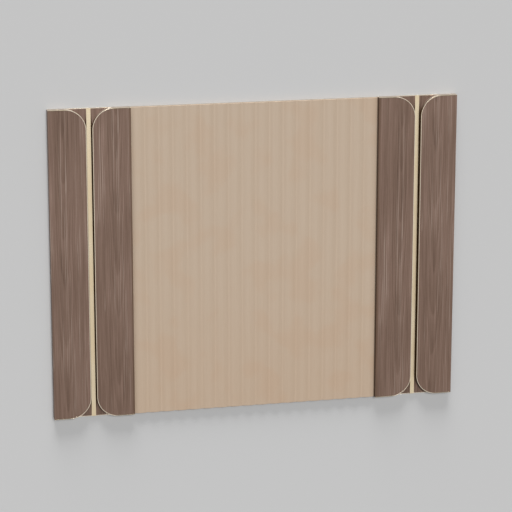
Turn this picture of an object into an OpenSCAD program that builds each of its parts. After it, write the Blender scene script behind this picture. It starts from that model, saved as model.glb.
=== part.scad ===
// Decorative wall panel: a reeded centre between two walnut side units.
// It lies flat on its back: X is the width, Y is the height, +Z is the front face.
// The origin is at the middle of the back face.

/* [Overall] */
// Height of the panel, bottom edge to top edge
panel_height = 2690; // [2300:10:3000]
// Width of each side unit
unit_width = 700; // [600:5:900]
// Width of the reeded centre
centre_width = 2160; // [1500:10:2600]

/* [Back layer] */
// Thickness of the three back boards
back_thickness = 20; // [12:1:36]
// Height of the brass trim at each end of a side unit's back board
end_trim_height = 4; // [2:0.5:16]

/* [Reeded centre] */
// Thickness of the reeded board at the crest of a reed
crest_thickness = 20; // [18:1:40]
// Number of reeds side by side across the centre
reed_count = 18; // [10:1:36]
// Depth of the valleys between the reeds
reed_depth = 12; // [4:0.5:15]
// How far the centre stops short of the panel's top edge
centre_top_gap = 4; // [0:0.5:20]

/* [Raised boards] */
// How far the raised boards stand off the back board
raise_height = 46; // [30:1:70]
// Width of the channel between the two raised boards
channel_width = 53; // [44:1:80]
// How far the channel's middle lies outwards from the middle of its side unit
channel_offset = 2.5; // [0:0.5:10]
// Outer radius of the rounded corners at the channel
corner_radius = 180; // [60:5:240]

/* [Edging] */
// Width of the edging's front face
edging_face = 4.5; // [3:0.5:14]
// Depth of the edging, front to back
edging_depth = 14; // [6:0.5:20]
// How far the edging stands proud of the walnut face
edging_proud = 1; // [0.5:0.25:2]
// Clearance between the edging and the side of its rebate
glue_line = 0.3; // [0.2:0.05:0.6]

/* [Channel strip] */
// Width of the strip
strip_width = 38; // [20:1:42]
// Thickness of the strip
strip_thickness = 4; // [2:0.5:20]
// Chamfer along the strip's two front corners
strip_chamfer = 1; // [0.5:0.25:1.75]

/* [Hidden] */
inner_board_width = (unit_width - channel_width) / 2 + channel_offset;
outer_board_width = (unit_width - channel_width) / 2 - channel_offset;
centre_height = panel_height - centre_top_gap;
back_board_height = panel_height - 2 * end_trim_height;
rebate_depth = edging_depth - edging_proud;
reed_pitch = centre_width / reed_count;
reed_radius = (reed_pitch * reed_pitch / 4 + reed_depth * reed_depth) / (2 * reed_depth);
slab_cover = 2;
cut_reach = 5;
$fn = 128;

// Places a side unit's piece. In the unit's own frame x runs from the centre joint outwards.
module right_unit() {
    translate([centre_width / 2, 0, 0]) children();
}

module left_unit() {
    mirror([1, 0, 0]) right_unit() children();
}

// Turns a piece drawn for the inner raised board into its outer neighbour.
module outer_place() {
    translate([unit_width, 0, 0]) mirror([1, 0, 0]) children();
}

// Flat board lying on the ground plane. Its lower end is at the given y.
module flat_board(start, low_end, width, height, thickness) {
    translate([start, low_end, 0]) cube([width, height, thickness]);
}

// Cross-section of the reeded board: a row of equal arcs that meet in sharp valleys.
// A slab whose top lies just under the valleys closes the section below the arcs.
module reed_section() {
    translate([-centre_width / 2, 0]) square([centre_width, crest_thickness - reed_depth - slab_cover]);
    intersection() {
        translate([-centre_width / 2, 0]) square([centre_width, crest_thickness]);
        union() {
            for (reed = [1 : reed_count]) {
                middle = (reed - 0.5) * reed_pitch - centre_width / 2;
                translate([middle, crest_thickness - reed_radius]) circle(r = reed_radius);
            }
        }
    }
}

// Outline of a raised board of a given width, with its two corners rounded on the channel side.
// Inset draws in the top, bottom and channel edges; start is the x of its square side.
module board_outline(width, inset, start) {
    reach = width - inset;
    height = panel_height - 2 * inset;
    radius = corner_radius - inset;
    intersection() {
        translate([start, -height / 2]) square([reach - start, height]);
        union() {
            translate([start, -height / 2]) square([reach - radius - start, height]);
            translate([start, -height / 2 + radius]) square([reach - start, height - 2 * radius]);
            translate([reach - radius, height / 2 - radius]) circle(r = radius);
            translate([reach - radius, -height / 2 + radius]) circle(r = radius);
        }
    }
}

// Raised board with a rebate along its front corner for the edging.
module raised_board(width) {
    translate([0, 0, back_thickness]) {
        linear_extrude(raise_height - rebate_depth) board_outline(width, 0, 0);
        linear_extrude(raise_height) board_outline(width, edging_face + glue_line, 0);
    }
}

// Band that sits in the rebate and stands slightly proud of the board's face.
module edging(width) {
    translate([0, 0, back_thickness + raise_height - rebate_depth]) {
        linear_extrude(edging_depth) {
            difference() {
                board_outline(width, 0, 0);
                board_outline(width, edging_face, -cut_reach);
            }
        }
    }
}

// Flat strip in the middle of the channel, with its two front corners chamfered.
module channel_strip() {
    half = strip_width / 2;
    middle = inner_board_width + channel_width / 2;
    translate([middle, panel_height / 2, back_thickness]) rotate([90, 0, 0]) {
        linear_extrude(panel_height) {
            polygon([
                [-half, 0],
                [half, 0],
                [half, strip_thickness - strip_chamfer],
                [half - strip_chamfer, strip_thickness],
                [-half + strip_chamfer, strip_thickness],
                [-half, strip_thickness - strip_chamfer]
            ]);
        }
    }
}

// Two bars that cap the top and bottom ends of one side unit's back board.
module end_trim_pair() {
    translate([0, back_board_height / 2, 0]) cube([unit_width, end_trim_height, back_thickness]);
    translate([0, -panel_height / 2, 0]) cube([unit_width, end_trim_height, back_thickness]);
}

module centre_backing() {
    color("BurlyWood") {
        flat_board(-centre_width / 2, -panel_height / 2, centre_width, centre_height, back_thickness);
    }
}

module reeded_board() {
    color("Tan") translate([0, centre_height - panel_height / 2, back_thickness]) rotate([90, 0, 0]) {
        linear_extrude(centre_height) reed_section();
    }
}

// Back board of one side unit, between its two end trims.
module unit_back_board() {
    flat_board(0, -back_board_height / 2, unit_width, back_board_height, back_thickness);
}

module left_back_board() {
    color("SaddleBrown") left_unit() unit_back_board();
}

module right_back_board() {
    color("SaddleBrown") right_unit() unit_back_board();
}

module back_end_trims() {
    color("Goldenrod") {
        left_unit() end_trim_pair();
        right_unit() end_trim_pair();
    }
}

module left_outer_board() {
    color("Sienna") left_unit() outer_place() raised_board(outer_board_width);
}

module left_inner_board() {
    color("Sienna") left_unit() raised_board(inner_board_width);
}

module right_inner_board() {
    color("Sienna") right_unit() raised_board(inner_board_width);
}

module right_outer_board() {
    color("Sienna") right_unit() outer_place() raised_board(outer_board_width);
}

module left_outer_edging() {
    color("Gold") left_unit() outer_place() edging(outer_board_width);
}

module left_inner_edging() {
    color("Gold") left_unit() edging(inner_board_width);
}

module right_inner_edging() {
    color("Gold") right_unit() edging(inner_board_width);
}

module right_outer_edging() {
    color("Gold") right_unit() outer_place() edging(outer_board_width);
}

module left_channel_strip() {
    color("Khaki") left_unit() channel_strip();
}

module right_channel_strip() {
    color("Khaki") right_unit() channel_strip();
}

centre_backing();
reeded_board();
left_back_board();
right_back_board();
back_end_trims();
left_outer_board();
left_inner_board();
right_inner_board();
right_outer_board();
left_outer_edging();
left_inner_edging();
right_inner_edging();
right_outer_edging();
left_channel_strip();
right_channel_strip();
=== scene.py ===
import math

import bpy
import numpy as np
from mathutils import Matrix, Vector


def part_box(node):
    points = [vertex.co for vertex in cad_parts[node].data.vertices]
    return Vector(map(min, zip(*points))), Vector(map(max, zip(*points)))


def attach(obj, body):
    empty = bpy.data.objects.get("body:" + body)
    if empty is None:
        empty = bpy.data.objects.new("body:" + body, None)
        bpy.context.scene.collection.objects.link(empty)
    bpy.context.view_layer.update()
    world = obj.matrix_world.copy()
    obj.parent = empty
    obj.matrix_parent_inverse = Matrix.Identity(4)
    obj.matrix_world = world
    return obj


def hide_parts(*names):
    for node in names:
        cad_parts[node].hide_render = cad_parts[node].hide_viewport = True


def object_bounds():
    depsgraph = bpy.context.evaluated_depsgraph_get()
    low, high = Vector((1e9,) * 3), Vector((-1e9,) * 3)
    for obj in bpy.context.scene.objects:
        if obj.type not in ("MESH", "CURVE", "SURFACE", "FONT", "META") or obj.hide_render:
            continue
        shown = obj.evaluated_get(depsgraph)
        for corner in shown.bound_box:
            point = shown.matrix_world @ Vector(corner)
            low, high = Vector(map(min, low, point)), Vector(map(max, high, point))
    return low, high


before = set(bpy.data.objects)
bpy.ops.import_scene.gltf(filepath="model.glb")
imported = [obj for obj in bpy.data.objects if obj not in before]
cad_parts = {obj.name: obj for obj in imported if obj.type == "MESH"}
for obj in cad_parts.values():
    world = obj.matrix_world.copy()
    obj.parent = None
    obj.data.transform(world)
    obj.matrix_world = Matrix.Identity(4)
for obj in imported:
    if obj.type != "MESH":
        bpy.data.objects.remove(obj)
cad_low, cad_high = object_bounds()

# A wall panel lying on its back: X is its width, Y its height, +Z its front.
# All sizes are in metres.

# Sizes that the CAD boxes don't give.
REED_PITCH = 0.120
REED_DEPTH = 0.012
VALLEY_HALF_WIDTH = 0.011
CORNER_RADIUS = 0.180
EDGING_FACE = 0.0045
GLUE_LINE = 0.0003
STRIP_CHAMFER = 0.001

# Radii of the eased edges, and widths of the worn bands beside them.
WOOD_ARRIS = 0.0009
BRASS_ARRIS = 0.0006
STRIP_ARRIS = 0.0005
BEAD_ARRIS = 0.0008
HIDDEN_ARRIS = 0.0004
WEAR_BAND = 0.002
EDGING_WEAR_BAND = 0.0018
CORNER_BAND = 0.004

# A worn band takes at most this share of an edge, and of a bar's thickness. An edge
# shorter than so many bands is worn from end to end.
BAND_SHARE = 0.4
THICKNESS_SHARE = 0.3
SHORT_EDGE = 2.5

# Numbers of mesh points or rows: in an eased edge and a rounded corner, along a bar and
# the reeded board, across half a valley and a reed, and on the straight parts of an outline.
ARRIS_STEPS = 4
ARC_POINTS = 40
BAR_ROWS = 12
REEDED_ROWS = 28
VALLEY_POINTS = 6
REED_POINTS = 17
BOARD_END_POINTS = 4
EDGING_END_POINTS = 3
EDGING_SIDE_POINTS = 12


# ---------------------------------------------------------------- shapes

def quarter_turn(steps):
    """Angles from 0 to a quarter turn, in equal steps."""
    return np.linspace(0.0, math.pi / 2, steps)


def loft(rings, wear, along=None, around=None, painted_recess_shading=None, painted_end_shading=None):
    """Closed solid through a stack of rings, an array of rings by points by 3.

    Point i of a ring is joined to point i of the next ring, so the side is a grid of quads.
    The first and last ring are closed by a ladder: point i is joined to point n - 1 - i.
    Six times the solid's volume is the sum over all quads of the triple products of their
    corners; where that is negative every quad is turned round, so that faces point outwards.
    The other arguments are layers of one value a point: the wear mask, the masks of painted
    shade and light in recesses and on ends, and the distances along and around the path.
    """
    count, size = rings.shape[:2]
    number = np.arange(count * size).reshape(count, size)
    wrapped = np.concatenate([number, number[:, :1]], axis=1)
    side = np.stack(
        [wrapped[:-1, :-1], wrapped[:-1, 1:], wrapped[1:, 1:], wrapped[1:, :-1]], axis=-1
    ).reshape(-1, 4)
    step = np.arange(size // 2 - 1)
    ladder = np.stack([step, step + 1, size - 2 - step, size - 1 - step], axis=-1)
    quads = np.concatenate([side, ladder[:, ::-1], ladder + (count - 1) * size])
    points = rings.reshape(-1, 3)
    a, b, c, d = (points[quads[:, k]] - points.mean(0) for k in range(4))
    volume = np.einsum("ij,ij->", np.cross(a, b), c) + np.einsum("ij,ij->", np.cross(a, c), d)
    if volume < 0:
        quads = quads[:, ::-1]
    zero = np.zeros((count, size))
    layers = [zero if layer is None else layer for layer in (wear, along, around, painted_recess_shading, painted_end_shading)]
    return points, quads, [np.broadcast_to(layer, (count, size)).reshape(-1) for layer in layers]


def weighted_normals(points, quads):
    """Normal at each point: the sum of the area vectors of the quads that meet there.

    A quad's area vector is half the cross product of its diagonals, so the wide flat faces
    keep their own direction and the shading turns only across the eased edges.
    """
    corner = points[quads]
    area = np.cross(corner[:, 2] - corner[:, 0], corner[:, 3] - corner[:, 1])
    total = np.zeros_like(points)
    np.add.at(total, quads.reshape(-1), np.repeat(area, 4, axis=0))
    return total / np.maximum(np.linalg.norm(total, axis=1, keepdims=True), 1e-20)


def add_piece(name, lofts, material, slot, *nodes):
    """One object from one or more lofts. It stands for the given CAD nodes.

    The wear mask and the masks of painted shade and light in recesses and on ends become
    attributes, and the distances along and around the path become the piece's UV map.
    """
    start = np.cumsum([0] + [len(points) for points, _, _ in lofts[:-1]])
    points = np.concatenate([points for points, _, _ in lofts])
    quads = np.concatenate([quads + first for (_, quads, _), first in zip(lofts, start)])
    wear, along, around, painted_recess_shading, painted_end_shading = (
        np.concatenate([layers[k] for _, _, layers in lofts]) for k in range(5)
    )
    mesh = bpy.data.meshes.new(name)
    mesh.vertices.add(len(points))
    mesh.vertices.foreach_set("co", points.astype(np.float32).ravel())
    mesh.loops.add(quads.size)
    mesh.loops.foreach_set("vertex_index", quads.astype(np.int32).ravel())
    mesh.polygons.add(len(quads))
    mesh.polygons.foreach_set("loop_start", np.arange(0, quads.size, 4, dtype=np.int32))
    mesh.update(calc_edges=True)
    mesh.validate()
    for label, values in (("wear", wear), ("painted_recess_shading", painted_recess_shading), ("painted_end_shading", painted_end_shading)):
        layer = mesh.attributes.new(label, "FLOAT", "POINT")
        layer.data.foreach_set("value", values.astype(np.float32))
    flat = quads.ravel()
    lengths = mesh.uv_layers.new(name="lengths")
    lengths.uv.foreach_set(
        "vector", np.stack([along[flat], around[flat]], axis=-1).astype(np.float32).ravel()
    )
    mesh.polygons.foreach_set("use_smooth", np.ones(len(quads), dtype=bool))
    mesh.normals_split_custom_set_from_vertices(weighted_normals(points, quads).tolist())
    mesh.materials.append(material)
    piece = bpy.data.objects.new(name, mesh)
    bpy.context.scene.collection.objects.link(piece)
    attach(piece, "root")
    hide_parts(*nodes)


def eased_section(corners, ease, inset, band):
    """Convex section with rounded corners, and its wear mask.

    corners run counter-clockwise, and ease is one length for all of them or one for each.
    Each corner becomes an arc of radius ease - inset about the corner of the outline drawn in
    by ease: centre = corner - ease (n1 + n2) / (1 + n1.n2), where n1 and n2 are the outward
    normals of the two edges that meet there. A point on each side of the arc, a band away
    along the edge, ends the worn part.
    """
    corners = np.asarray(corners, float)
    ease = np.broadcast_to(ease, len(corners))
    edge = np.roll(corners, -1, axis=0) - corners
    length = np.linalg.norm(edge, axis=1)
    ahead = edge / length[:, None]
    out = np.stack([ahead[:, 1], -ahead[:, 0]], axis=-1)
    before, out_before, length_before = (np.roll(v, 1, axis=0) for v in (ahead, out, length))
    meet = 1 + np.sum(out * out_before, axis=1, keepdims=True)
    centre = corners - ease[:, None] * (out + out_before) / meet
    first = np.arctan2(out_before[:, 1], out_before[:, 0])
    turn = np.arctan2(
        out_before[:, 0] * out[:, 1] - out_before[:, 1] * out[:, 0],
        np.sum(out * out_before, axis=1),
    )
    angle = first[:, None] + turn[:, None] * np.linspace(0, 1, ARRIS_STEPS)
    radius = (ease - inset)[:, None, None]
    arc = centre[:, None] + radius * np.stack([np.cos(angle), np.sin(angle)], axis=-1)
    free_before = length_before - ease - np.roll(ease, 1)
    free_after = length - ease - np.roll(ease, -1)
    back = np.minimum(band, BAND_SHARE * free_before)[:, None]
    forward = np.minimum(band, BAND_SHARE * free_after)[:, None]
    ring = np.concatenate(
        [(arc[:, 0] - before * back)[:, None], arc, (arc[:, -1] + ahead * forward)[:, None]],
        axis=1,
    )
    wear = np.ones(ring.shape[:2])
    wear[:, 0] = length_before < SHORT_EDGE * band
    wear[:, -1] = length < SHORT_EDGE * band
    return ring.reshape(-1, 2), wear.reshape(-1)


def swept(path, side, section, ease):
    """Section carried along a path in a plane of constant height, with eased ends.

    path and side are arrays of points and of unit vectors across the path. section gives the
    section's points and wear for an inset. A point (p, q) goes to path + p side + q up. At
    each end the section is drawn in by ease (1 - cos a) while it still has ease (1 - sin a)
    to go, for a from 0 to 90 degrees.
    """
    first, last = (v / np.linalg.norm(v) for v in (path[1] - path[0], path[-1] - path[-2]))
    a = quarter_turn(ARRIS_STEPS)
    drawn, short = ease * (1 - np.cos(a)), ease * (1 - np.sin(a))
    band_points = np.stack([path[0] + first * WEAR_BAND, path[-1] - last * WEAR_BAND])
    places = np.concatenate([
        path[0] + first * short[::-1, None],
        band_points[:1], path[1:-1], band_points[1:],
        path[-1] - last * short[:, None],
    ])
    sides = np.concatenate([
        np.repeat(side[:1], ARRIS_STEPS + 1, axis=0), side[1:-1],
        np.repeat(side[-1:], ARRIS_STEPS + 1, axis=0),
    ])
    middle = len(places) - 2 * ARRIS_STEPS
    insets = np.concatenate([drawn[::-1], np.zeros(middle), drawn])
    end_wear = np.concatenate([np.ones(ARRIS_STEPS), np.zeros(middle), np.ones(ARRIS_STEPS)])
    flat, wear = zip(*(section(inset) for inset in insets))
    flat = np.array(flat)
    rings = places[:, None] + flat[..., :1] * sides[:, None]
    rings[..., 2] += flat[..., 1]
    step = np.linalg.norm(np.diff(places, axis=0), axis=1)
    along = np.concatenate([[0], np.cumsum(step)])[:, None]
    around = np.concatenate(
        [[0], np.cumsum(np.linalg.norm(np.diff(flat[len(flat) // 2], axis=0), axis=1))]
    )[None]
    return rings, np.maximum(np.array(wear), end_wear[:, None]), along, around


def bar_loft(low, high, axis, ease, chamfer=0.0):
    """Straight bar that fills a box, swept along x (axis 0) or y (axis 1).

    Its section is the box's, as a rectangle with its two front corners cut by the chamfer.
    """
    low, high = np.array(low), np.array(high)
    middle = (low + high) / 2
    across = 1 - axis
    half = (high - low)[across] / 2
    bottom, top = low[2], high[2]
    if chamfer:
        corners = [(-half, bottom), (half, bottom), (half, top - chamfer),
                   (half - chamfer, top), (-half + chamfer, top), (-half, top - chamfer)]
    else:
        corners = [(-half, bottom), (half, bottom), (half, top), (-half, top)]
    path = np.zeros((BAR_ROWS, 3))
    path[:, axis] = np.linspace(low[axis], high[axis], BAR_ROWS)
    path[:, across] = middle[across]
    side = np.zeros((BAR_ROWS, 3))
    side[:, across] = 1.0
    band = min(WEAR_BAND, THICKNESS_SHARE * (top - bottom))
    rings, wear, along, around = swept(
        path, side, lambda inset: eased_section(corners, ease, inset, band), ease
    )
    return loft(rings, wear, along, around)


def reed_height(x):
    """Height of the reeded face above the valley floor line, for an array of x.

    Each reed is an arc through its crest and two valleys: radius = (pitch^2 / 4 + depth^2)
    / (2 depth), height = depth - radius + sqrt(radius^2 - d^2), with d the distance to the
    nearest crest. The valleys are at whole numbers of pitches from x = 0. Close to a valley
    the sharp meeting is filled by the parabola that has the arc's height and slope at the
    filled part's edge.
    """
    radius = (REED_PITCH ** 2 / 4 + REED_DEPTH ** 2) / (2 * REED_DEPTH)
    from_valley = np.abs(x - REED_PITCH * np.round(x / REED_PITCH))
    from_crest = REED_PITCH / 2 - from_valley
    arc = REED_DEPTH - radius + np.sqrt(radius ** 2 - from_crest ** 2)
    w = VALLEY_HALF_WIDTH
    edge = REED_PITCH / 2 - w
    edge_height = REED_DEPTH - radius + math.sqrt(radius ** 2 - edge ** 2)
    slope = edge / math.sqrt(radius ** 2 - edge ** 2)
    filled = edge_height - slope * (w ** 2 - from_valley ** 2) / (2 * w)
    return np.where(from_valley < w, filled, arc)


def reeded_loft(low, high):
    """Reeded board: the section is the row of reeds over a flat back, swept along y.

    A flat cut, side_drop deep, eases its two sides. The face is marked in the valleys, up to
    the share valley_top of the reeds' depth, where painted light lifts the valleys' shade.
    """
    side_drop, valley_top = 0.6 * WOOD_ARRIS, 0.35
    width = high.x - low.x
    reeds = int(width / REED_PITCH) + 2
    in_reed = np.concatenate([
        np.linspace(0, VALLEY_HALF_WIDTH, VALLEY_POINTS)[:-1],
        np.linspace(VALLEY_HALF_WIDTH, REED_PITCH - VALLEY_HALF_WIDTH, REED_POINTS),
        np.linspace(REED_PITCH - VALLEY_HALF_WIDTH, REED_PITCH, VALLEY_POINTS)[1:-1],
    ])
    x = (np.arange(-reeds, reeds)[:, None] * REED_PITCH + in_reed).reshape(-1)
    half = width / 2
    ease = WOOD_ARRIS
    x = np.concatenate([[-half, -half + ease], x[np.abs(x) < half - 2 * ease], [half - ease, half]])
    top = high.z - REED_DEPTH + reed_height(x)
    top[0] -= side_drop
    top[-1] -= side_drop
    middle = (low.x + high.x) / 2
    valley = np.clip(1 - reed_height(x) / (valley_top * REED_DEPTH), 0, 1)

    def section(inset):
        """The reeds from left to right, then the back from right to left, drawn in by inset."""
        drawn_x = np.clip(x, -half + inset, half - inset)
        upper = np.stack([drawn_x, top - inset], axis=-1)
        lower = np.stack([drawn_x, np.full(len(x), low.z + inset)], axis=-1)
        return np.concatenate([upper, lower[::-1]]), np.zeros(2 * len(x))

    path = np.zeros((REEDED_ROWS, 3))
    path[:, 0] = middle
    path[:, 1] = np.linspace(low.y, high.y, REEDED_ROWS)
    side = np.tile([1.0, 0.0, 0.0], (REEDED_ROWS, 1))
    rings, wear, along, around = swept(path, side, section, ease)
    painted_recess_shading = np.concatenate([valley, np.zeros(len(x))])[None]
    return loft(rings, wear, along, around, painted_recess_shading)


def outline(x_square, x_channel, y_half, draw_in, square_in):
    """Closed outline of a raised board in plan, and the direction it faces at each point.

    Its bottom half runs from the square side round an eased corner, along the bottom edge
    and round a quarter circle, of the corner radius less draw_in, to the channel edge. The
    top half is the same points with y turned over, in reverse order. draw_in moves the
    bottom, top and channel edges inwards, and square_in the square side. Gives an array of
    points by 4: x, y, and the size of the outward direction's share along x and along y.
    """
    sign = 1.0 if x_channel > x_square else -1.0
    reach = abs(x_channel - x_square) - draw_in
    r = CORNER_RADIUS - draw_in
    half = y_half - draw_in
    t = quarter_turn(ARRIS_STEPS)
    a = quarter_turn(ARC_POINTS)
    e = WOOD_ARRIS
    n = BOARD_END_POINTS
    straight = np.linspace(square_in + CORNER_BAND, reach - r, n + 1)[:-1]
    across = np.concatenate([
        [square_in], square_in + e * (1 - np.cos(t)), straight, reach - r + r * np.sin(a)
    ])
    down = np.concatenate([
        [half - CORNER_BAND], half - e * (1 - np.sin(t)), np.full(n, half), half - r + r * np.cos(a)
    ])
    out_x = np.concatenate([[0], 0 * t, np.zeros(n), np.sin(a)])
    out_y = np.concatenate([[0], np.sin(t), np.ones(n), np.cos(a)])
    x = x_square + sign * across
    low_half = np.stack([x, -down, out_x, out_y], axis=-1)
    return np.concatenate([low_half, (low_half * [1, -1, 1, 1])[::-1]])


def raised_board_loft(low, high, rebate_z, channel_on_right):
    """Raised walnut board: rings of its outline, stacked from its back to its front face.

    The rings go up the side, in across the ledge that the edging sits on, up the inner
    wall, and round the eased front edge. Each row gives a ring's height, how far its edges
    at the bottom, top and channel are drawn in, the same for its square side, and its wear.
    The side is marked for painted shade where it faces the channel, and for painted light
    where it faces the top or the bottom, each by the square of the outward direction's share.
    """
    x_square, x_channel = (low.x, high.x) if channel_on_right else (high.x, low.x)
    y_half = (high.y - low.y) / 2
    ledge = EDGING_FACE + GLUE_LINE
    e, h = WOOD_ARRIS, HIDDEN_ARRIS
    side = [(low.z, h, h, 0), (low.z + h, 0, 0, 0), (low.z + 3 * h, 0, 0, 0),
            (rebate_z - 3 * h, 0, 0, 0), (rebate_z - h, 0, 0, 0), (rebate_z, h, 0, 0)]
    rebate = [(rebate_z, 3 * h, 0, 0), (rebate_z, ledge - h, 0, 0), (rebate_z + h, ledge, 0, 0),
              (high.z - 2 * e, ledge, 0, 0.6)]
    front = [
        (high.z - e * (1 - math.sin(t)), ledge + e * (1 - math.cos(t)), e * (1 - math.cos(t)), 1)
        for t in quarter_turn(ARRIS_STEPS)
    ]
    rows = side + rebate + front + [(high.z, ledge + e + WEAR_BAND, e + WEAR_BAND, 0)]
    plans = np.array([
        outline(x_square, x_channel, y_half, draw_in, square_in)
        for _, draw_in, square_in, _ in rows
    ])
    z = np.array([row[0] for row in rows])[:, None, None]
    rings = np.concatenate([plans[..., :2], np.broadcast_to(z, plans.shape[:2] + (1,))], axis=-1)
    wear = np.array([row[3] for row in rows], float)[:, None]
    on_side = (np.arange(len(rows)) < len(side))[:, None]
    return loft(rings, wear, painted_recess_shading=plans[..., 2] ** 2 * on_side,
                painted_end_shading=plans[..., 3] ** 2 * on_side)


def edging_loft(low, high, channel_on_right):
    """Brass band: a small rectangle, its outer front corner a little rounder than the
    others, carried round the board's outline.

    The path runs half a band inside the outline: bottom edge, quarter circle, channel edge,
    quarter circle, top edge. Along the top and bottom edges the front face is marked for
    painted shade, and the outer side a quarter so. The mark fades out where the outward
    direction's share along x reaches fade. The outer side is marked for painted shade by the
    square of that share, which is all of it beside the channel.
    """
    fade, side_share = 0.22, 0.25
    x_square, x_channel = (low.x, high.x) if channel_on_right else (high.x, low.x)
    sign = 1.0 if channel_on_right else -1.0
    half = EDGING_FACE / 2
    y_half = (high.y - low.y) / 2 - half
    reach = abs(x_channel - x_square) - half
    r = CORNER_RADIUS - half
    a = quarter_turn(ARC_POINTS)
    n, m = EDGING_END_POINTS, EDGING_SIDE_POINTS
    straight = np.linspace(0, reach - r, n + 1)[:-1]
    upright = np.linspace(-(y_half - r), y_half - r, m + 2)[1:-1]
    across = np.concatenate([
        straight, reach - r + r * np.sin(a), np.full(m, reach), reach - r + r * np.cos(a),
        straight[::-1],
    ])
    y = np.concatenate([
        np.full(n, -y_half), -(y_half - r) - r * np.cos(a), upright,
        (y_half - r) + r * np.sin(a), np.full(n, y_half),
    ])
    path = np.stack([x_square + sign * across, y, np.zeros_like(y)], axis=-1)
    out_x = np.concatenate([np.zeros(n), np.sin(a), np.ones(m), np.cos(a), np.zeros(n)])
    out_y = np.concatenate([-np.ones(n), -np.cos(a), np.zeros(m), np.sin(a), np.ones(n)])
    side = np.stack([sign * out_x, out_y, np.zeros_like(y)], axis=-1)
    corners = [(-half, low.z), (half, low.z), (half, high.z), (-half, high.z)]
    eases = np.array([BRASS_ARRIS, BRASS_ARRIS, BEAD_ARRIS, BRASS_ARRIS])
    rings, wear, along, around = swept(
        path, side, lambda inset: eased_section(corners, eases, inset, EDGING_WEAR_BAND),
        BRASS_ARRIS,
    )
    # swept puts ARRIS_STEPS + 1 rings in the place of the path's first and last point, and
    # eased_section puts ARRIS_STEPS + 2 points in the place of each corner.
    repeats = [ARRIS_STEPS + 1] + [1] * (len(out_x) - 2) + [ARRIS_STEPS + 1]
    facing_x = np.repeat(out_x, repeats)[:, None]
    point = np.arange(rings.shape[1])
    outer_back = ARRIS_STEPS + 2
    outer_front = 2 * outer_back
    front = point >= outer_front + 3
    outer_side = (point >= outer_back + 3) & (point <= outer_front + 1)
    return loft(
        rings, wear, along, around, painted_recess_shading=facing_x ** 2 * outer_side,
        painted_end_shading=np.clip(1 - facing_x / fade, 0, 1) * np.where(front, 1.0, side_share * outer_side),
    )


# ---------------------------------------------------------------- finishes

# Where the finishes change across the panel, as distances from x = 0: half the centre's
# width, and the two sides of the channel. The painted shade on the channel's floor is full
# a little inside those sides, and gone a little outside them, by the next two distances.
CENTRE_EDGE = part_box("reeded_board")[1].x
CHANNEL_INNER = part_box("right_inner_board")[1].x
CHANNEL_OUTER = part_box("right_outer_board")[0].x
CHANNEL_SHADE_EDGE = 0.002
CHANNEL_SHADE_FADE = 0.008

# How far the painted shade at the joint reaches from the centre's edge, outwards and inwards.
WALNUT_JOINT_SHADE_REACH = (0.002, 0.026)
PALE_JOINT_SHADOW_REACH = (0.014, 0.002)

# Heights between which a painted shade fades: towards the panel's lower edge in each wood,
# and on the channel's floor where the corners open, measured from the panel's middle.
WALNUT_LOWER_SHADE_FADE = (-1.3, 1.0)
PALE_LOWER_SHADE_FADE = (-1.45, 0.3)
CORNERS_OPEN = (1.20, 1.31)

# Tones are linear colours. A ramp is a row of positions and tones. Of two tones, fibre or
# chips run from one to the other. A tint multiplies.
WALNUT_RAMP = (
    (0.05, (0.121, 0.076, 0.0555, 1)),
    (0.35, (0.174, 0.112, 0.084, 1)),
    (0.62, (0.224, 0.148, 0.1155, 1)),
    (0.95, (0.318, 0.222, 0.180, 1)),
)
WALNUT_PALE_STREAK = (0.33, 0.25, 0.205, 1)
WALNUT_PORE = (0.045, 0.027, 0.018, 1)
# Painted shade: the walnut darker towards the panel's lower edge.
WALNUT_LOWER_SHADE = (0.905, 0.895, 0.885, 1)
# Painted shade: the walnut beside the centre's joint.
WALNUT_JOINT_SHADE = (0.075, 0.040, 0.016, 1)
# Painted shade: near black on the back board where it is the channel's floor.
WALNUT_CHANNEL_SHADE = (0.034, 0.012, 0.000, 1)
WALNUT_WORN = (0.27, 0.19, 0.145, 1)
# Painted shade: the raised boards' sides that face the channel, near black.
WALNUT_CHANNEL_SIDE_SHADE = ((0.045, 0.019, 0.003, 1), (0.060, 0.027, 0.005, 1))
# Painted light: the raised boards' top and bottom ends, lighter as if lit from above.
WALNUT_END_LIGHT = ((0.25, 0.20, 0.165, 1), (0.31, 0.26, 0.22, 1))

PALE_RAMP = ((0.1, (0.412, 0.309, 0.220, 1)), (0.9, (0.539, 0.431, 0.331, 1)))
PALE_CLOUD = (0.470, 0.338, 0.236, 1)
PALE_FLECK = (0.33, 0.225, 0.15, 1)
# Painted light: a tint that lifts the reed valleys, where shade falls.
PALE_VALLEY_LIGHT = (1.03, 1.03, 1.025, 1)
# Painted shadow: the reeds beside the joint with the right side unit.
PALE_JOINT_SHADOW = (0.060, 0.036, 0.022, 1)
# Painted shade: the pale wood darker and warmer towards the panel's lower edge.
PALE_LOWER_SHADE = (0.975, 0.935, 0.90, 1)
PALE_WORN = (0.62, 0.52, 0.42, 1)

BRASS_WORN = (0.90, 0.82, 0.68, 1)
# Painted shade: the edging's side that faces the channel.
BRASS_CHANNEL_SIDE_SHADE = (0.16, 0.085, 0.02, 1)

BACKING_TONES = ((0.165, 0.115, 0.068, 1), (0.24, 0.175, 0.11, 1))
BACKING_WORN = (0.29, 0.22, 0.15, 1)


def fill(tree, socket, value):
    """Gives an input a value, or a link where the value is an output of another node."""
    if isinstance(value, bpy.types.NodeSocket):
        tree.links.new(value, socket)
    else:
        socket.default_value = value


def put(tree, kind, inputs=None, **settings):
    """Adds a node, sets its properties, and fills its inputs."""
    made = tree.nodes.new(kind)
    for key, value in settings.items():
        setattr(made, key, value)
    for key, value in (inputs or {}).items():
        fill(tree, made.inputs[key], value)
    return made


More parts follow.
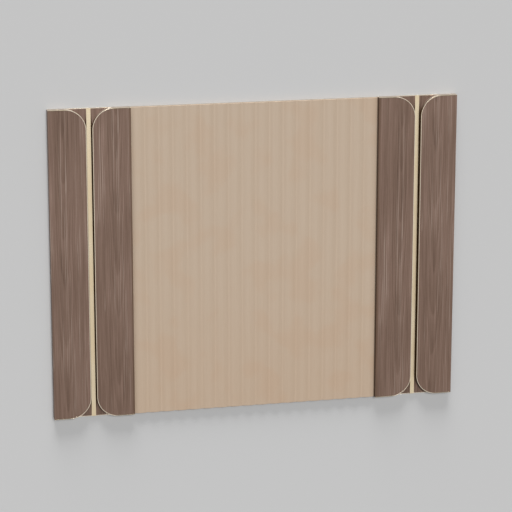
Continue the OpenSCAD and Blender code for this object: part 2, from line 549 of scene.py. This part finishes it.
def maths(tree, operation, *values, clamp=False):
    """Output of one Math node."""
    made = put(tree, "ShaderNodeMath", dict(enumerate(values)), operation=operation)
    made.use_clamp = clamp
    return made.outputs[0]


def times(tree, value, factor):
    """The product of two values."""
    return maths(tree, "MULTIPLY", value, factor)


def nudged(tree, tone, layer, amount):
    """The tone, moved by a layer centred on 0.5: tone + amount (layer - 0.5)."""
    return maths(tree, "MULTIPLY_ADD", maths(tree, "SUBTRACT", layer, 0.5), amount, tone)


def spread(tree, value, low, high, to_low=0.0, to_high=1.0):
    """Output of a clamped, smooth Map Range node."""
    return put(
        tree, "ShaderNodeMapRange",
        {"Value": value, "From Min": low, "From Max": high, "To Min": to_low, "To Max": to_high},
        interpolation_type="SMOOTHSTEP",
    ).outputs[0]


def blend(tree, share, below, above, mode="MIX"):
    """Output of a colour Mix node."""
    made = put(tree, "ShaderNodeMix", data_type="RGBA", blend_type=mode)
    for number, value in ((0, share), (6, below), (7, above)):
        fill(tree, made.inputs[number], value)
    return made.outputs[2]


def tinted(tree, share, colour, tint):
    """The colour multiplied by a tint, by a share."""
    return blend(tree, share, colour, tint, "MULTIPLY")


def ramped(tree, tone, stops):
    """Output of a colour ramp. stops are positions and tones, lowest first."""
    ramp = put(tree, "ShaderNodeValToRGB", {0: tone})
    elements = ramp.color_ramp.elements
    for element, (position, colour) in ((elements[0], stops[0]), (elements[1], stops[-1])):
        element.position, element.color = position, colour
    for position, colour in stops[1:-1]:
        elements.new(position).color = colour
    return ramp.outputs[0]


def parts(tree, vector):
    """The x, y and z of a vector."""
    return put(tree, "ShaderNodeSeparateXYZ", {0: vector}).outputs


def noise(tree, vector, scale, detail, roughness=0.5):
    """A Noise Texture node."""
    return put(tree, "ShaderNodeTexNoise",
               {"Vector": vector, "Scale": scale, "Detail": detail, "Roughness": roughness})


def new_group(name, inputs, outputs):
    """Empty shader group with named inputs and outputs: its tree, its inputs, its outputs."""
    tree = bpy.data.node_groups.new(name, "ShaderNodeTree")
    kinds = {"value": "NodeSocketFloat", "vector": "NodeSocketVector"}
    for label, kind, default in inputs:
        socket = tree.interface.new_socket(name=label, in_out="INPUT", socket_type=kinds[kind])
        if default is not None:
            socket.default_value = default
    for label in outputs:
        tree.interface.new_socket(name=label, in_out="OUTPUT", socket_type=kinds["value"])
    return tree, put(tree, "NodeGroupInput").outputs, put(tree, "NodeGroupOutput").inputs


def stretched(tree, vector, across, along):
    """The vector, scaled by across in x and z and by along in y."""
    scale = put(tree, "ShaderNodeCombineXYZ", {"X": across, "Y": along, "Z": across})
    return put(
        tree, "ShaderNodeVectorMath", {0: vector, 1: scale.outputs[0]}, operation="MULTIPLY"
    ).outputs[0]


def fibre_group():
    """Long streaks that run along y and wander a little sideways."""
    tree, given, result = new_group(
        "long_fibre",
        [("Vector", "vector", None), ("Across", "value", 300.0), ("Along", "value", 4.0),
         ("Wander", "value", 0.004), ("Detail", "value", 3.0)],
        ["Streak"],
    )
    slow = noise(tree, stretched(tree, given["Vector"], 9.0, 1.6), 1.0, 2.0)
    shift = times(tree, maths(tree, "SUBTRACT", slow.outputs[0], 0.5), given["Wander"])
    sideways = put(tree, "ShaderNodeCombineXYZ", {"X": shift, "Z": shift})
    moved = put(tree, "ShaderNodeVectorMath",
                {0: given["Vector"], 1: sideways.outputs[0]}, operation="ADD")
    streaks = stretched(tree, moved.outputs[0], given["Across"], given["Along"])
    fine = noise(tree, streaks, 1.0, given["Detail"], 0.55)
    tree.links.new(fine.outputs[0], result["Streak"])
    return tree


def cathedral_group():
    """Growth rings cut by the board's face: rings = sqrt(x^2 + depth^2) / spacing.

    depth changes slowly along y, which draws nested arches about x = 0. Each ring rises
    slowly and falls fast.
    """
    tree, given, result = new_group(
        "growth_rings",
        [("Vector", "vector", None), ("Spacing", "value", 0.009), ("Depth", "value", 0.06),
         ("Slope", "value", -0.02), ("Wander", "value", 0.012)],
        ["Ring"],
    )
    slow = noise(tree, stretched(tree, given["Vector"], 7.0, 1.9), 1.0, 3.0, 0.45)
    sway = put(tree, "ShaderNodeVectorMath",
               {0: slow.outputs[1], 1: (0.5, 0.5, 0.5)}, operation="SUBTRACT")
    sway = parts(tree, sway.outputs[0])
    at = parts(tree, given["Vector"])
    x = maths(tree, "MULTIPLY_ADD", sway[0], given["Wander"], at[0])
    depth = maths(tree, "MULTIPLY_ADD", at[1], given["Slope"], given["Depth"])
    depth = maths(tree, "MULTIPLY_ADD", sway[1], given["Wander"], depth)
    depth = maths(tree, "ADD", depth, at[2])
    squares = maths(tree, "ADD", times(tree, x, x), times(tree, depth, depth))
    distance = maths(tree, "SQRT", squares)
    ring = maths(tree, "FRACT", maths(tree, "DIVIDE", distance, given["Spacing"]))
    rise = spread(tree, ring, 0.0, 0.82)
    fall = spread(tree, ring, 0.86, 1.0, 1.0, 0.0)
    tree.links.new(times(tree, rise, fall), result["Ring"])
    return tree


def pore_group():
    """Short dark pores along the grain: some of the points of a stretched cell pattern."""
    tree, given, result = new_group(
        "grain_pores",
        [("Vector", "vector", None), ("Across", "value", 620.0), ("Along", "value", 42.0),
         ("Size", "value", 0.3)],
        ["Pore"],
    )
    cell = put(tree, "ShaderNodeTexVoronoi",
               {"Vector": stretched(tree, given["Vector"], given["Across"], given["Along"]),
                "Scale": 1.0, "Randomness": 1.0})
    reach = maths(tree, "DIVIDE", cell.outputs["Distance"], given["Size"])
    near = maths(tree, "SUBTRACT", 1.0, reach, clamp=True)
    some = put(tree, "ShaderNodeSeparateColor", {0: cell.outputs["Color"]})
    chosen = spread(tree, some.outputs[0], 0.35, 0.6)
    tree.links.new(times(tree, near, chosen), result["Pore"])
    return tree


def cloud_group():
    """Soft uneven tone. Stretch below 1 makes it longer along y than across it."""
    tree, given, result = new_group(
        "soft_cloud",
        [("Vector", "vector", None), ("Size", "value", 0.3), ("Stretch", "value", 0.5)],
        ["Cloud"],
    )
    across = maths(tree, "DIVIDE", 1.0, given["Size"])
    along = times(tree, across, given["Stretch"])
    soft = noise(tree, stretched(tree, given["Vector"], across, along), 1.0, 2.0, 0.4)
    tree.links.new(spread(tree, soft.outputs[0], 0.3, 0.7), result["Cloud"])
    return tree


def edge_wear_group():
    """Wear along eased edges, broken up so that it comes and goes."""
    tree, given, result = new_group(
        "edge_wear",
        [("Mask", "value", 0.0), ("Vector", "vector", None), ("Break", "value", 30.0),
         ("Amount", "value", 0.5)],
        ["Wear"],
    )
    broken = noise(tree, given["Vector"], given["Break"], 4.0)
    patchy = times(tree, given["Mask"], spread(tree, broken.outputs[0], 0.32, 0.62, 0.25, 1.0))
    tree.links.new(times(tree, patchy, given["Amount"]), result["Wear"])
    return tree


FIBRE = fibre_group()
RINGS = cathedral_group()
PORES = pore_group()
CLOUD = cloud_group()
WEAR = edge_wear_group()


def use(tree, group, output, vector, **inputs):
    """Places a group and gives one of its outputs. Its inputs are named in lower case."""
    named = {key.capitalize(): value for key, value in inputs.items()}
    made = put(tree, "ShaderNodeGroup", {"Vector": vector, **named}, node_tree=group)
    return made.outputs[output]


def streak(tree, vector, across, along, wander, detail=3.0):
    """One layer of long fibre, with so many streaks a metre across and along."""
    return use(tree, FIBRE, "Streak", vector, across=across, along=along, wander=wander,
               detail=detail)


def soft_cloud(tree, vector, size, stretch):
    """One layer of soft uneven tone."""
    return use(tree, CLOUD, "Cloud", vector, size=size, stretch=stretch)


def mask(tree, label):
    """One of the piece's own masks: wear, or painted shade and light in recesses or on ends."""
    return put(tree, "ShaderNodeAttribute", attribute_name=label).outputs["Fac"]


def edge_wear(tree, vector, amount, breaks=30.0):
    """The piece's wear mask, broken up."""
    inputs = {"Mask": mask(tree, "wear"), "Vector": vector, "Break": breaks, "Amount": amount}
    return put(tree, "ShaderNodeGroup", inputs, node_tree=WEAR).outputs["Wear"]


def new_finish(name, roughness, metallic=0.0, specular=0.5):
    """Empty material with one Principled shader: its tree and the shader."""
    finish = bpy.data.materials.new(name)
    finish.use_nodes = True
    tree = finish.node_tree
    tree.nodes.clear()
    shader = put(tree, "ShaderNodeBsdfPrincipled", {
        "Roughness": roughness, "Metallic": metallic, "Specular IOR Level": specular,
    })
    put(tree, "ShaderNodeOutputMaterial", {"Surface": shader.outputs[0]})
    return finish, tree, shader


def dress(tree, shader, colour, roughness, height, strength, depth):
    """Links a finish's colour, its roughness and its fine relief to the shader."""
    relief = put(tree, "ShaderNodeBump",
                 {"Height": height, "Strength": strength, "Distance": depth}).outputs[0]
    for label, value in (("Base Color", colour), ("Roughness", roughness), ("Normal", relief)):
        tree.links.new(value, shader.inputs[label])


def placed(tree, shift=(0.0, 0.0, 0.0)):
    """Object coordinates, moved by a Mapping node."""
    own = put(tree, "ShaderNodeTexCoord")
    return put(tree, "ShaderNodeMapping",
               {"Vector": own.outputs["Object"], "Location": shift}).outputs[0]


def walnut(name, middle, shift, depth, channel_shade=False):
    """Grey-brown walnut veneer. middle is the x of its arches, shift moves the veneer.

    Painted shade darkens it towards the panel's lower edge and beside the centre's joint, and,
    with the last argument set, on the channel's floor up to where the corners open.
    """
    finish, tree, shader = new_finish(name, 0.46, specular=0.12)
    at = placed(tree, (-middle, shift, 0.0))
    ring = use(tree, RINGS, "Ring", at, depth=depth)
    broad = streak(tree, at, 38.0, 0.7, 0.03)
    narrow = streak(tree, at, 95.0, 0.9, 0.02)
    medium = streak(tree, at, 190.0, 2.0, 0.012)
    fine = streak(tree, at, 900.0, 14.0, 0.004)
    pores = use(tree, PORES, "Pore", at)
    cloud = soft_cloud(tree, at, 0.22, 0.3)

    tone = maths(tree, "MULTIPLY_ADD", spread(tree, broad, 0.3, 0.7), 0.2, 0.37)
    for layer, amount in ((narrow, 0.62), (medium, 0.7), (fine, 0.35), (cloud, 0.16)):
        tone = nudged(tree, tone, layer, amount)
    from_middle = maths(tree, "ABSOLUTE", parts(tree, at)[0])
    ring_share = spread(tree, from_middle, 0.02, 0.13, 0.18, 0.05)
    tone = maths(tree, "SUBTRACT", tone, times(tree, ring, ring_share))
    colour = ramped(tree, tone, WALNUT_RAMP)

    pale = spread(tree, streak(tree, at, 130.0, 0.6, 0.016, detail=1.0), 0.62, 0.71)
    pale = times(tree, pale, spread(tree, cloud, 0.2, 0.7, 0.3, 0.75))
    colour = blend(tree, pale, colour, WALNUT_PALE_STREAK)
    colour = blend(tree, times(tree, pores, 0.5), colour, WALNUT_PORE)

    x, y, _ = parts(tree, placed(tree))
    across, up = maths(tree, "ABSOLUTE", x), maths(tree, "ABSOLUTE", y)
    # Painted shade towards the panel's lower edge.
    lower = spread(tree, y, *WALNUT_LOWER_SHADE_FADE, 0.85, 0.0)
    colour = tinted(tree, lower, colour, WALNUT_LOWER_SHADE)
    # Painted shade on the walnut beside the centre's joint.
    joint_shade = spread(tree, across, *(CENTRE_EDGE + reach for reach in WALNUT_JOINT_SHADE_REACH), 0.52, 0.0)
    colour = blend(tree, joint_shade, colour, WALNUT_JOINT_SHADE)
    # Painted shade on the channel's floor, up to where the corners open.
    if channel_shade:
        inner = spread(tree, across, CHANNEL_INNER - CHANNEL_SHADE_FADE, CHANNEL_INNER + CHANNEL_SHADE_EDGE)
        outer = spread(tree, across, CHANNEL_OUTER - CHANNEL_SHADE_EDGE, CHANNEL_OUTER + CHANNEL_SHADE_FADE,
                       1.0, 0.0)
        closed = spread(tree, up, *CORNERS_OPEN, 1.0, 0.0)
        floor = times(tree, times(tree, inner, outer), closed)
        colour = blend(tree, floor, colour, WALNUT_CHANNEL_SHADE)
    worn = edge_wear(tree, at, 0.22)
    colour = blend(tree, worn, colour, WALNUT_WORN)
    # Painted shade on the sides that face the channel.
    side = blend(tree, fine, *WALNUT_CHANNEL_SIDE_SHADE)
    colour = blend(tree, mask(tree, "painted_recess_shading"), colour, side)
    # Painted light on the ends that face the top and the bottom.
    end = blend(tree, fine, *WALNUT_END_LIGHT)
    colour = blend(tree, times(tree, mask(tree, "painted_end_shading"), 0.88), colour, end)

    rough = maths(tree, "MULTIPLY_ADD", medium, 0.16, 0.37)
    rough = maths(tree, "MULTIPLY_ADD", pores, 0.2, rough)
    rough = maths(tree, "SUBTRACT", rough, times(tree, worn, 0.12))
    height = maths(tree, "MULTIPLY_ADD", pores, -1.0, times(tree, fine, 0.6))
    dress(tree, shader, colour, rough, height, 0.35, 0.00025)
    return finish


def pale_wood(name):
    """Pale reeded wood: fine straight fibre, small flecks and soft warm clouds.

    Painted shadow darkens it at its joint with the right side unit, and painted shade
    towards the panel's lower edge.
    """
    finish, tree, shader = new_finish(name, 0.5)
    at = placed(tree)
    medium = streak(tree, at, 70.0, 1.2, 0.02)
    fine = streak(tree, at, 650.0, 9.0, 0.004)
    flecks = use(tree, PORES, "Pore", at, across=480.0, along=60.0, size=0.26)
    cloud = soft_cloud(tree, at, 0.30, 1.0)

    tone = nudged(tree, nudged(tree, 0.5, medium, 0.26), fine, 0.3)
    warmth = times(tree, spread(tree, cloud, 0.45, 1.0), 0.42)
    colour = blend(tree, warmth, ramped(tree, tone, PALE_RAMP), PALE_CLOUD)
    colour = blend(tree, times(tree, flecks, 0.3), colour, PALE_FLECK)
    # Painted light: the valleys are lifted a little, against the shade that falls in them.
    colour = tinted(tree, mask(tree, "painted_recess_shading"), colour, PALE_VALLEY_LIGHT)
    x, y, _ = parts(tree, at)
    # Painted shadow along the joint with the right side unit.
    joint = spread(tree, x, *(CENTRE_EDGE - reach for reach in PALE_JOINT_SHADOW_REACH), 0.0, 0.78)
    colour = blend(tree, joint, colour, PALE_JOINT_SHADOW)
    # Painted shade towards the panel's lower edge.
    lower = spread(tree, y, *PALE_LOWER_SHADE_FADE, 0.75, 0.0)
    colour = tinted(tree, lower, colour, PALE_LOWER_SHADE)
    colour = blend(tree, edge_wear(tree, at, 0.3), colour, PALE_WORN)

    rough = maths(tree, "MULTIPLY_ADD", medium, 0.14, 0.44)
    height = maths(tree, "MULTIPLY_ADD", flecks, -0.7, times(tree, fine, 0.7))
    dress(tree, shader, colour, rough, height, 0.25, 0.0002)
    return finish


def brass(name, dark, light, end_run_shade=None):
    """Satin brass, brushed along each bar. It reads the piece's own lengths.

    The last argument is the painted shade's tone on the front face of the edging's top and
    bottom runs. Painted shade makes edging darker still on the side that faces the channel.
    """
    finish, tree, shader = new_finish(name, 0.3, metallic=1.0)
    lengths = put(tree, "ShaderNodeUVMap", uv_map="lengths").outputs[0]
    brushing = put(tree, "ShaderNodeMapping", {"Vector": lengths, "Scale": (14.0, 2600.0, 1.0)})
    brushed = noise(tree, brushing.outputs[0], 1.0, 3.0, 0.6).outputs[0]
    at = placed(tree)
    cloud = soft_cloud(tree, at, 0.09, 0.35)
    worn = edge_wear(tree, at, 0.35, breaks=45.0)

    colour = blend(tree, nudged(tree, cloud, brushed, 0.5), dark, light)
    colour = blend(tree, worn, colour, BRASS_WORN)
    if end_run_shade:
        # Painted shade on the front face of the edging's top and bottom runs.
        colour = blend(tree, times(tree, mask(tree, "painted_end_shading"), 0.9), colour, end_run_shade)
        # Painted shade on the edging's side that faces the channel.
        colour = blend(tree, times(tree, mask(tree, "painted_recess_shading"), 0.9), colour, BRASS_CHANNEL_SIDE_SHADE)

    rough = maths(tree, "MULTIPLY_ADD", brushed, 0.14, 0.25)
    rough = maths(tree, "SUBTRACT", rough, times(tree, worn, 0.03))
    rough = maths(tree, "MULTIPLY_ADD", cloud, -0.04, rough)
    dress(tree, shader, colour, rough, brushed, 0.12, 0.0001)
    return finish


def backing_board(name):
    """Plain pressed board for the hidden back."""
    finish, tree, shader = new_finish(name, 0.8, specular=0.3)
    at = placed(tree)
    chips = noise(tree, at, 420.0, 4.0).outputs[0]
    cloud = soft_cloud(tree, at, 0.5, 1.0)
    tone = nudged(tree, maths(tree, "MULTIPLY_ADD", cloud, 0.3, 0.35), chips, 0.8)
    colour = blend(tree, tone, *BACKING_TONES)
    colour = blend(tree, edge_wear(tree, at, 0.4), colour, BACKING_WORN)
    rough = maths(tree, "MULTIPLY_ADD", chips, 0.2, 0.7)
    dress(tree, shader, colour, rough, chips, 0.3, 0.0002)
    return finish


# ---------------------------------------------------------------- the panel's pieces

PALE_WOOD = pale_wood("pale_reeded_wood")
BRASS = brass("champagne_brass", (0.742, 0.605, 0.403, 1), (0.828, 0.697, 0.490, 1))
# Edging brass: painted shade on the front of its top and bottom runs, and on its channel side.
EDGE_BRASS = brass("edge_brass", (0.85, 0.725, 0.56, 1), (0.92, 0.805, 0.65, 1),
                   end_run_shade=(0.33, 0.275, 0.185, 1))
# A darker, greyer copy of the brass for the end trims: painted shade.
SHADED_TRIM_BRASS = brass("shaded_trim_brass", (0.66, 0.56, 0.43, 1), (0.74, 0.64, 0.51, 1))
BACKING = backing_board("plain_backing")
# The back board's veneer has painted shade on the channel's floor.
WALNUT_BACK = walnut("walnut_back_veneer", 1.43, 0.4, 0.12, channel_shade=True)

low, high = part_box("centre_backing")
add_piece("centre_backing_sheet", [bar_loft(low, high, 1, HIDDEN_ARRIS)], BACKING, "backing",
          "centre_backing")
low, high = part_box("reeded_board")
add_piece("reeded_front", [reeded_loft(low, high)], PALE_WOOD, "pale_wood", "reeded_board")

for hand in ("left", "right"):
    low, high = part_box(f"{hand}_back_board")
    add_piece(f"{hand}_back_walnut", [bar_loft(low, high, 1, HIDDEN_ARRIS)], WALNUT_BACK, "walnut",
              f"{hand}_back_board")
    low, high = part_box(f"{hand}_channel_strip")
    add_piece(f"{hand}_brass_strip", [bar_loft(low, high, 1, STRIP_ARRIS, STRIP_CHAMFER)], BRASS,
              "brass", f"{hand}_channel_strip")

trim_low, trim_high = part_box("back_end_trims")
back_low, back_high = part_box("left_back_board")
trims = []
for x0, x1 in ((back_low.x, back_high.x), (-back_high.x, -back_low.x)):
    for y0, y1 in ((trim_low.y, back_low.y), (back_high.y, trim_high.y)):
        trims.append(bar_loft((x0, y0, trim_low.z), (x1, y1, trim_high.z), 0, BRASS_ARRIS))
add_piece("brass_end_trims", trims, SHADED_TRIM_BRASS, "brass", "back_end_trims")

# For each raised board: the x of its arches, the veneer's shift along y, and its ring depth.
VENEERS = {
    "left_outer": (-1.66, 0.35, 0.07),
    "left_inner": (-1.21, -0.15, 0.055),
    "right_inner": (1.285, 0.9, 0.055),
    "right_outer": (1.60, -0.7, 0.07),
}
for board, (middle, shift, depth) in VENEERS.items():
    low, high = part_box(f"{board}_board")
    edge_low, edge_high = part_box(f"{board}_edging")
    channel_on_right = board in ("left_outer", "right_inner")
    veneer = walnut(f"walnut_{board}", middle, shift, depth)
    add_piece(f"{board}_walnut", [raised_board_loft(low, high, edge_low.z, channel_on_right)],
              veneer, "walnut", f"{board}_board")
    add_piece(f"{board}_brass_edge", [edging_loft(edge_low, edge_high, channel_on_right)],
              EDGE_BRASS, "brass", f"{board}_edging")


# ---------------------------------------------------------------- studio

# Tone of the floor, strengths of the surroundings as light and in reflections, and
# strengths of the two lamps. The second one comes in low, past the panel's top edge.
FLOOR_TONE = 0.549
AMBIENT = 0.2
SHINE = 0.66
FRONT_LIGHT = 1.90
TOP_EDGE_LIGHT = 3.8

# The floor reaches this far each way, lies this far under the panel, and has so many
# points along each side.
FLOOR_REACH = 60.0
FLOOR_GAP = 0.0005
FLOOR_POINTS = 9

# The camera's direction in degrees, its distance, where it aims in x and y, and its lens
# and sensor in millimetres.
CAMERA_TURN = 13.087
CAMERA_RISE = 13.750
CAMERA_DISTANCE = 18.538
CAMERA_AIM = (-0.0063, 0.0072)
CAMERA_LENS = 151.34
CAMERA_SENSOR = 36.0


def studio_floor():
    """Plain pale floor, a split square just under the panel's back."""
    line = np.linspace(-FLOOR_REACH, FLOOR_REACH, FLOOR_POINTS)
    x, y = np.meshgrid(line, line)
    points = np.stack([x, y, np.full_like(x, cad_low.z - FLOOR_GAP)], axis=-1).reshape(-1, 3)
    number = np.arange(FLOOR_POINTS ** 2).reshape(FLOOR_POINTS, FLOOR_POINTS)
    quads = np.stack([number[:-1, :-1], number[:-1, 1:], number[1:, 1:], number[1:, :-1]], axis=-1)
    mesh = bpy.data.meshes.new("studio_floor")
    mesh.from_pydata(points.tolist(), [], quads.reshape(-1, 4).tolist())
    finish, _, shader = new_finish("studio_grey", 0.95, specular=0.0)
    shader.inputs["Base Color"].default_value = (FLOOR_TONE, FLOOR_TONE, FLOOR_TONE, 1)
    mesh.materials.append(finish)
    floor = bpy.data.objects.new("studio_floor", mesh)
    bpy.context.scene.collection.objects.link(floor)


def studio_surroundings():
    """Even pale surroundings, a little brighter in reflections."""
    world = bpy.data.worlds.new("studio")
    world.use_nodes = True
    tree = world.node_tree
    tree.nodes.clear()
    rays = put(tree, "ShaderNodeLightPath")
    seen = maths(tree, "MULTIPLY_ADD", rays.outputs["Is Camera Ray"], FLOOR_TONE - AMBIENT, AMBIENT)
    seen = maths(tree, "MULTIPLY_ADD", rays.outputs["Is Glossy Ray"], SHINE - AMBIENT, seen)
    shine = put(tree, "ShaderNodeBackground", {"Color": (1.0, 1.0, 1.0, 1), "Strength": seen})
    put(tree, "ShaderNodeOutputWorld", {"Surface": shine.outputs[0]})
    bpy.context.scene.world = world


def soft_lamp(name, strength, spread_angle, comes_from, mirrored=True):
    """Broad far lamp, spread_angle degrees wide. comes_from points from the panel to it.

    A lamp that isn't mirrored lights the surfaces but doesn't shine back from them.
    """
    lamp = bpy.data.lights.new(name, "SUN")
    lamp.energy = strength
    lamp.angle = math.radians(spread_angle)
    held = bpy.data.objects.new(name, lamp)
    held.visible_glossy = mirrored
    held.rotation_mode = "QUATERNION"
    held.rotation_quaternion = (-Vector(comes_from)).to_track_quat("-Z", "Y")
    bpy.context.scene.collection.objects.link(held)


def panel_camera():
    """Camera above the panel, turned to its left and towards its top edge."""
    turn, rise = math.radians(CAMERA_TURN), math.radians(CAMERA_RISE)
    level = math.cos(rise)
    back = Vector((-math.sin(turn) * level, math.sin(rise), math.cos(turn) * level))
    target = Vector((*CAMERA_AIM, cad_high.z - 0.001))
    right = Vector((0, 1, 0)).cross(back).normalized()
    up = back.cross(right)
    seen = bpy.data.cameras.new("panel_camera")
    seen.lens, seen.sensor_width = CAMERA_LENS, CAMERA_SENSOR
    seen.clip_start, seen.clip_end = 0.5, 400.0
    camera = bpy.data.objects.new("panel_camera", seen)
    facing = Matrix((right, up, back)).transposed().to_4x4()
    camera.matrix_world = Matrix.Translation(target + back * CAMERA_DISTANCE) @ facing
    bpy.context.scene.collection.objects.link(camera)
    bpy.context.scene.camera = camera


studio_floor()
studio_surroundings()
soft_lamp("front_softbox", FRONT_LIGHT, 22, (0.07, 0.34, 1.0))
soft_lamp("top_edge_softbox", TOP_EDGE_LIGHT, 26, (-0.05, 1.0, 0.20), mirrored=False)
panel_camera()
bpy.context.scene.view_settings.view_transform = "Standard"

bpy.context.view_layer.update()
